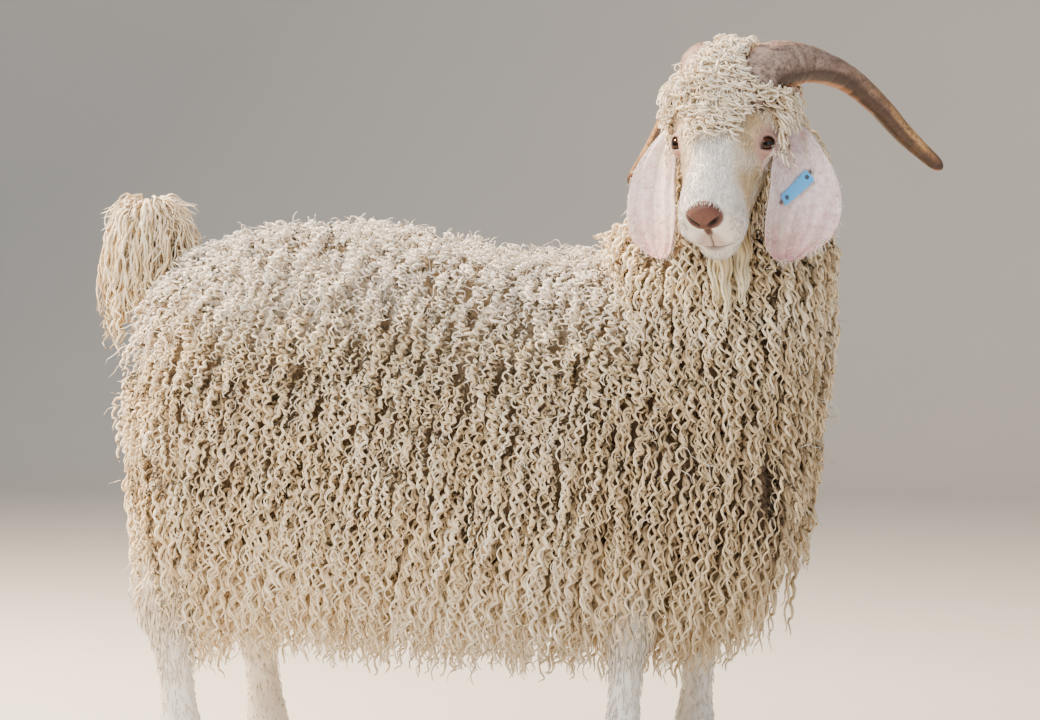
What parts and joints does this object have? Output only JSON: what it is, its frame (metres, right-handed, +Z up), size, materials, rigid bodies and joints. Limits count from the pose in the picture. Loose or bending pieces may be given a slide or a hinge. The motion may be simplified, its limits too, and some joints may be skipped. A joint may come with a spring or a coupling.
{
  "type": "angora goat",
  "caption": "Standing Angora ram in full curly fleece, head turned to its right, with sweeping horns, hanging ears, beard and raised tail.",
  "frame": {"origin": "middle of the bounding box, on the floor under the hooves", "axes": "+X along the body towards the chest, +Y to the ram's left, +Z up"},
  "size_m": [1.078, 0.5214, 0.961],
  "materials": {
    "fleece": "mohair locks, matt with a soft sheen",
    "face": "short white hair over pink skin",
    "ear": "thin pink skin with fine white hair",
    "horn": "satin horn with growth rings",
    "hoof": "dull horn",
    "eye": "wet gloss",
    "tag": "flexible blue plastic"
  },
  "bodies": {
    "root": {"ear_left": "ear", "ear_right": "ear", "ear_tag": "tag", "eye_left": "eye", "eye_right": "eye", "head": "face", "hoof_fore_left": "hoof", "hoof_fore_right": "hoof", "hoof_hind_left": "hoof", "hoof_hind_right": "hoof", "horn_left": "horn", "horn_right": "horn", "leg_fore_left": "fleece", "leg_fore_right": "fleece", "leg_hind_left": "fleece", "leg_hind_right": "fleece", "neck": "fleece", "tail": "fleece", "torso": "fleece"}
  },
  "joints": []
}
